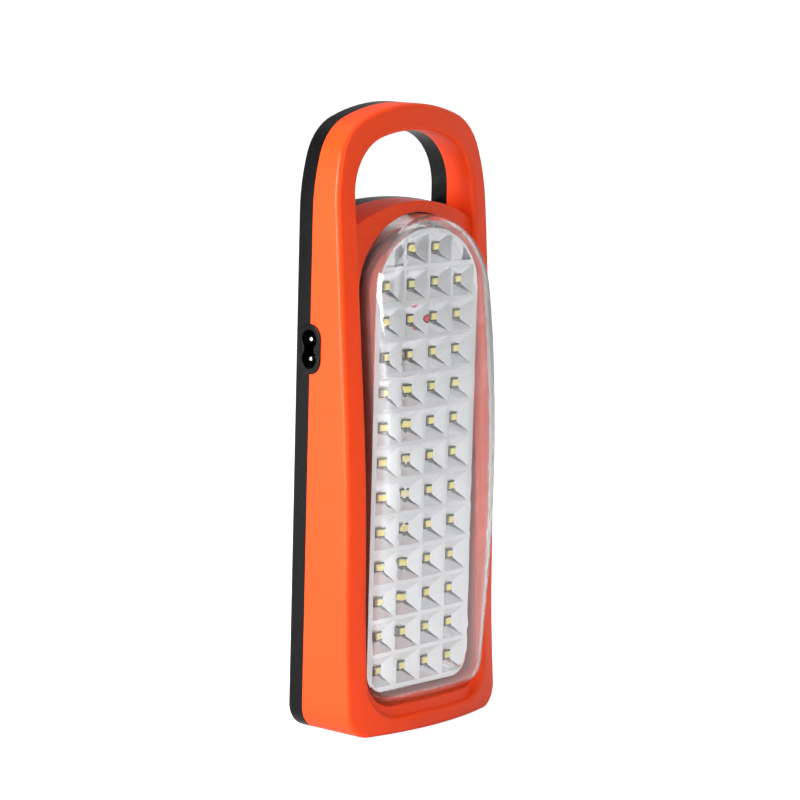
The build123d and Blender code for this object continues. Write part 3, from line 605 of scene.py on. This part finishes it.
def floor_sheet():
    """A wide pale floor."""
    shape = bmesh.new()
    bmesh.ops.create_grid(shape, x_segments=8, y_segments=8, size=FLOOR_REACH)
    mesh = bpy.data.meshes.new("floor")
    shape.to_mesh(mesh)
    shape.free()
    floor = bpy.data.objects.new("floor", mesh)
    bpy.context.scene.collection.objects.link(floor)
    material, tree, shader = blank_material("pale_floor")
    place = tree.nodes.new("ShaderNodeTexCoord").outputs["Object"]
    mottle = noise(tree, place, 3.0, 2.0)
    tone = tree.nodes.new("ShaderNodeMapRange")
    tone.inputs["To Min"].default_value = 0.55
    tone.inputs["To Max"].default_value = 0.65
    tree.links.new(mottle.outputs["Fac"], tone.inputs["Value"])
    tree.links.new(tone.outputs["Result"], shader.inputs["Roughness"])
    shader.inputs["Base Color"].default_value = (0.86, 0.86, 0.86, 1.0)
    shader.inputs["Emission Color"].default_value = (1.0, 1.0, 1.0, 1.0)
    ray = tree.nodes.new("ShaderNodeLightPath")
    glow = maths(tree, "MULTIPLY", ray.outputs["Is Camera Ray"], FLOOR_GLOW)
    tree.links.new(glow, shader.inputs["Emission Strength"])
    mesh.materials.append(material)


def softbox(name, place, target, size, power):
    """A rectangular area light aimed at a point."""
    light = bpy.data.lights.new(name, "AREA")
    light.shape = "RECTANGLE"
    light.size, light.size_y = size
    light.energy = power
    holder = bpy.data.objects.new(name, light)
    aim = Vector(target) - Vector(place)
    holder.matrix_world = Matrix.Translation(place) @ aim.to_track_quat("-Z", "Y").to_matrix().to_4x4()
    bpy.context.scene.collection.objects.link(holder)


def brightness_round_room(tree, place):
    """Dark on one side and bright on the other, by direction."""
    turn = tree.nodes.new("ShaderNodeVectorMath")
    turn.operation = "DOT_PRODUCT"
    turn.inputs[1].default_value = Vector(BRIGHT_SIDE).normalized()
    tree.links.new(place, turn.inputs[0])
    tone = tree.nodes.new("ShaderNodeValToRGB")
    ramp = tone.color_ramp
    ramp.elements[0].position = 0.15
    ramp.elements[0].color = (0.16, 0.16, 0.17, 1.0)
    ramp.elements[1].position = 0.82
    ramp.elements[1].color = (1.1, 1.1, 1.1, 1.0)
    middle = ramp.elements.new(0.5)
    middle.color = (0.36, 0.36, 0.37, 1.0)
    half = maths(tree, "MULTIPLY", turn.outputs["Value"], 0.5)
    level = maths(tree, "ADD", half, 0.5)
    tree.links.new(level, tone.inputs["Fac"])
    return tone.outputs["Color"]


def dappled(tree, place, colour):
    """The colour broken into large lighter and darker patches, for reflections with contrast."""
    patches = noise(tree, place, 2.6, 1.0)
    screens = tree.nodes.new("ShaderNodeMapRange")
    screens.inputs["From Min"].default_value = 0.42
    screens.inputs["From Max"].default_value = 0.58
    screens.inputs["To Min"].default_value = 0.45
    screens.inputs["To Max"].default_value = 1.35
    tree.links.new(patches.outputs["Fac"], screens.inputs["Value"])
    scaled = tree.nodes.new("ShaderNodeVectorMath")
    scaled.operation = "SCALE"
    tree.links.new(colour, scaled.inputs[0])
    tree.links.new(screens.outputs["Result"], scaled.inputs["Scale"])
    return scaled.outputs["Vector"]


def pale_room(strength):
    """White to the camera; a grey room with a bright side and soft patches for light and reflections."""
    world = bpy.data.worlds.new("pale_room")
    world.use_nodes = True
    tree = world.node_tree
    tree.nodes.clear()
    output = tree.nodes.new("ShaderNodeOutputWorld")
    seen = tree.nodes.new("ShaderNodeBackground")
    seen.inputs["Color"].default_value = (1.0, 1.0, 1.0, 1.0)
    seen.inputs["Strength"].default_value = 1.0
    around = tree.nodes.new("ShaderNodeBackground")
    around.inputs["Strength"].default_value = strength
    place = tree.nodes.new("ShaderNodeTexCoord").outputs["Generated"]
    tree.links.new(dappled(tree, place, brightness_round_room(tree, place)), around.inputs["Color"])
    ray = tree.nodes.new("ShaderNodeLightPath")
    mix = tree.nodes.new("ShaderNodeMixShader")
    tree.links.new(ray.outputs["Is Camera Ray"], mix.inputs["Fac"])
    tree.links.new(around.outputs["Background"], mix.inputs[1])
    tree.links.new(seen.outputs["Background"], mix.inputs[2])
    tree.links.new(mix.outputs["Shader"], output.inputs["Surface"])
    bpy.context.scene.world = world


def set_camera(stage):
    """Camera at its place, turned by azimuth, elevation and roll."""
    az, el, roll = stage.azimuth, stage.elevation, stage.roll
    back = Vector((sin(az) * cos(el), -cos(az) * cos(el), sin(el)))
    right = (-back).cross(Vector((0, 0, 1))).normalized()
    up = right.cross(-back)
    across = right * cos(roll) + up * sin(roll)
    upward = up * cos(roll) - right * sin(roll)
    turn = Matrix((across, upward, back)).transposed().to_4x4()
    data = bpy.data.cameras.new("camera")
    data.sensor_width = CAMERA_SENSOR
    data.lens = stage.lens
    data.clip_start = 0.05
    data.clip_end = 200.0
    camera = bpy.data.objects.new("camera", data)
    camera.matrix_world = Matrix.Translation(stage.place) @ turn
    bpy.context.scene.collection.objects.link(camera)
    bpy.context.scene.camera = camera


class LANTERN_OT_stage(Operator):
    """Pale floor, soft lights and camera"""
    bl_idname = "lantern.stage"
    bl_label = "Stage"

    def execute(self, context):
        stage = context.scene.lantern_stage
        floor_sheet()
        softbox("key_light", (-1.5, 0.25, 0.55), LAMP_TARGET, (0.7, 1.0), stage.key_power)
        softbox("fill_light", (0.1, -1.7, 0.9), LAMP_TARGET, (1.2, 0.9), stage.fill_power)
        softbox("pale_card", (1.3, -1.1, 0.1), CARD_TARGET, (1.2, 1.6), stage.card_power)
        softbox("top_light", (-0.1, 0.1, 1.4), LAMP_TARGET, (1.0, 1.0), stage.top_power)
        pale_room(stage.room)
        set_camera(stage)
        context.scene.view_settings.view_transform = "Standard"
        context.scene.view_settings.look = "None"
        return {"FINISHED"}


PIECES = (
    LANTERN_OT_front_shell, LANTERN_OT_rear_shell, LANTERN_OT_lens, LANTERN_OT_reflector,
    LANTERN_OT_light_unit, LANTERN_OT_battery, LANTERN_OT_control_board, LANTERN_OT_inlet,
    LANTERN_OT_switch, LANTERN_OT_leads, LANTERN_OT_stage,
)


class LANTERN_PT_panel(Panel):
    """Buttons that build the lantern's pieces"""
    bl_idname = "LANTERN_PT_panel"
    bl_label = "Lantern"
    bl_space_type = "VIEW_3D"
    bl_region_type = "UI"
    bl_category = "Lantern"

    def draw(self, context):
        scene = context.scene
        for settings in (scene.lantern_sizes, scene.lantern_colours, scene.lantern_stage):
            box = self.layout.box()
            for name in settings.bl_rna.properties.keys():
                if name not in ("rna_type", "name"):
                    box.prop(settings, name)
        for piece in PIECES:
            self.layout.operator(piece.bl_idname)


CLASSES = (LanternSizes, LanternColours, LanternStage) + PIECES + (LANTERN_PT_panel,)


def register():
    for item in CLASSES:
        bpy.utils.register_class(item)
    bpy.types.Scene.lantern_sizes = PointerProperty(type=LanternSizes)
    bpy.types.Scene.lantern_colours = PointerProperty(type=LanternColours)
    bpy.types.Scene.lantern_stage = PointerProperty(type=LanternStage)


def unregister():
    del bpy.types.Scene.lantern_stage
    del bpy.types.Scene.lantern_colours
    del bpy.types.Scene.lantern_sizes
    for item in reversed(CLASSES):
        bpy.utils.unregister_class(item)


def main():
    register()
    for piece in PIECES:
        group, name = piece.bl_idname.split(".")
        getattr(getattr(bpy.ops, group), name)()


if __name__ == "__main__":
    main()
